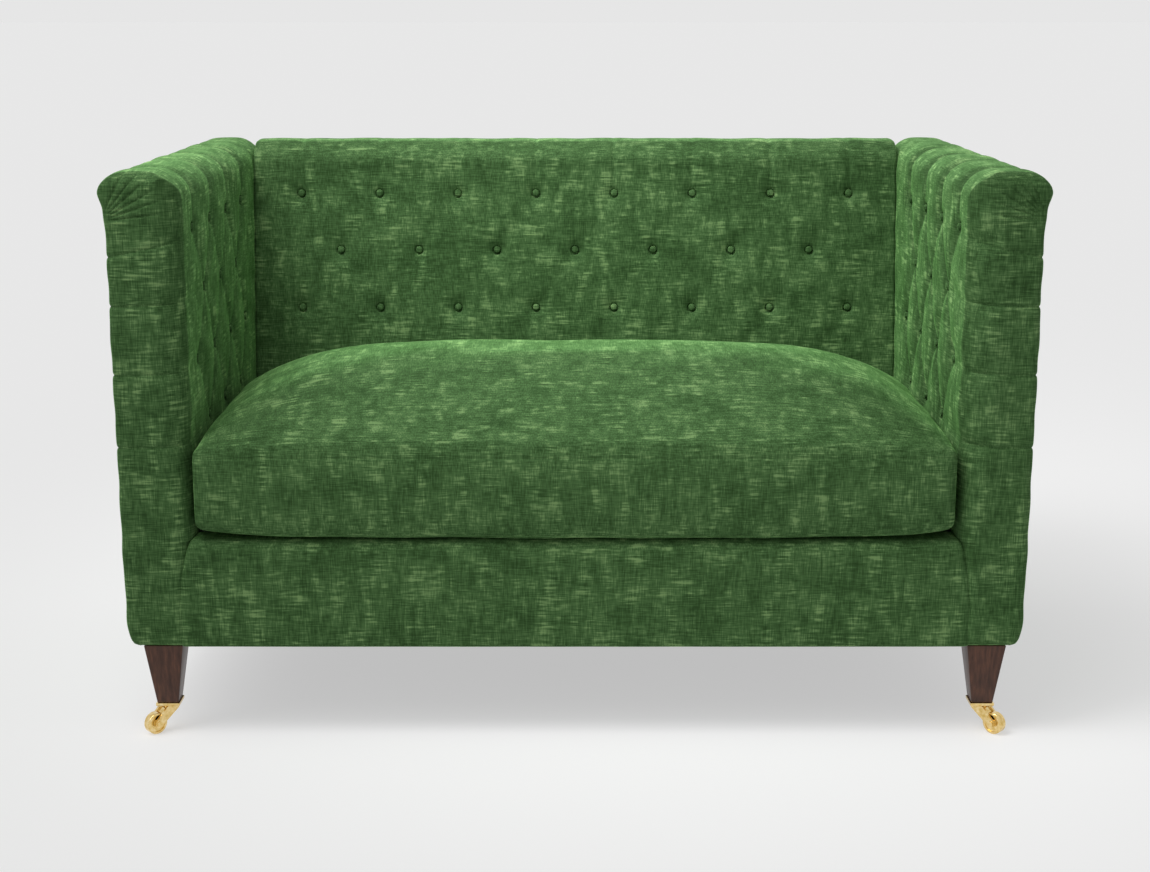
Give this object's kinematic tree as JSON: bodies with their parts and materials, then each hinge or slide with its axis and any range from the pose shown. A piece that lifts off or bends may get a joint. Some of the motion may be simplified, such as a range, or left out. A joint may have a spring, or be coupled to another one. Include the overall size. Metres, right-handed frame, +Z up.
{
  "type": "two-seater sofa",
  "caption": "Upholstered two-seater sofa with arms level with the back, buttoned inside back and arms, one loose crowned seat cushion, dark tapered legs and brass front castors.",
  "frame": {"origin": "on the floor under the middle of the bounding box", "axes": "+X to the right as seen from the front, +Y to the back, +Z up"},
  "size_m": [1.4, 0.8042, 0.872],
  "materials": {
    "velvet": "matte",
    "foam": "matte",
    "platform_cloth": "matte",
    "webbing": "matte",
    "hessian": "matte",
    "black_cloth": "matte",
    "zip": "matte",
    "beech": "matte",
    "dark_wood": "satin",
    "steel": "satin",
    "brass": "polished",
    "nylon": "matte"
  },
  "bodies": {
    "sofa": {"front_seat_rail": "beech", "rear_seat_rail": "beech", "left_seat_side_rail": "beech", "right_seat_side_rail": "beech", "centre_seat_rail": "beech", "corner_blocks": "beech", "left_arm_front_post": "beech", "right_arm_front_post": "beech", "left_rear_post": "beech", "right_rear_post": "beech", "left_arm_top_rail": "beech", "right_arm_top_rail": "beech", "left_arm_tacking_rail": "beech", "right_arm_tacking_rail": "beech", "back_top_rail": "beech", "back_tacking_rail": "beech", "back_uprights": "beech", "back_webbing": "webbing", "left_arm_webbing": "webbing", "right_arm_webbing": "webbing", "seat_springs": "steel", "spring_clips": "steel", "seat_hessian": "hessian", "back_foam": "foam", "left_arm_foam": "foam", "right_arm_foam": "foam", "platform_pad": "platform_cloth", "inside_back_cover": "velvet", "left_inside_arm_cover": "velvet", "right_inside_arm_cover": "velvet", "front_border": "velvet", "left_outside_arm_panel": "velvet", "right_outside_arm_panel": "velvet", "outside_back_panel": "velvet", "back_buttons": "velvet", "left_arm_buttons": "velvet", "right_arm_buttons": "velvet", "dust_cover": "black_cloth", "left_front_leg": "dark_wood", "right_front_leg": "dark_wood", "left_rear_leg": "dark_wood", "right_rear_leg": "dark_wood", "leg_glides": "nylon", "leg_bolts": "steel", "left_castor_plate": "brass", "right_castor_plate": "brass", "left_castor_king_pin": "brass", "right_castor_king_pin": "brass", "castor_screws": "brass"},
    "left_castor": {"left_castor_fork": "brass", "left_castor_axle": "brass"},
    "left_wheel": {"left_castor_wheel": "brass"},
    "right_castor": {"right_castor_fork": "brass", "right_castor_axle": "brass"},
    "right_wheel": {"right_castor_wheel": "brass"},
    "cushion": {"seat_cushion_cover": "velvet", "seat_cushion_core": "foam", "seat_cushion_zip": "zip"}
  },
  "joints": [
    {"name": "left_castor_swivel", "type": "hinge", "parent": "sofa", "child": "left_castor", "pos_m": [-0.634, -0.35906, 0.039], "axis": [0, 0, 1], "continuous": true},
    {"name": "left_wheel_spin", "type": "hinge", "parent": "left_castor", "child": "left_wheel", "pos_m": [-0.6538, -0.37886, 0.017], "axis": [-0.7071, 0.7071, 0], "continuous": true},
    {"name": "right_castor_swivel", "type": "hinge", "parent": "sofa", "child": "right_castor", "pos_m": [0.634, -0.35906, 0.039], "axis": [0, 0, 1], "continuous": true},
    {"name": "right_wheel_spin", "type": "hinge", "parent": "right_castor", "child": "right_wheel", "pos_m": [0.6538, -0.37886, 0.017], "axis": [0.7071, 0.7071, 0], "continuous": true},
    {"name": "cushion_lift", "type": "slide", "parent": "sofa", "child": "cushion", "axis": [0, 0, 1], "range_m": [0, 0.57]}
  ]
}
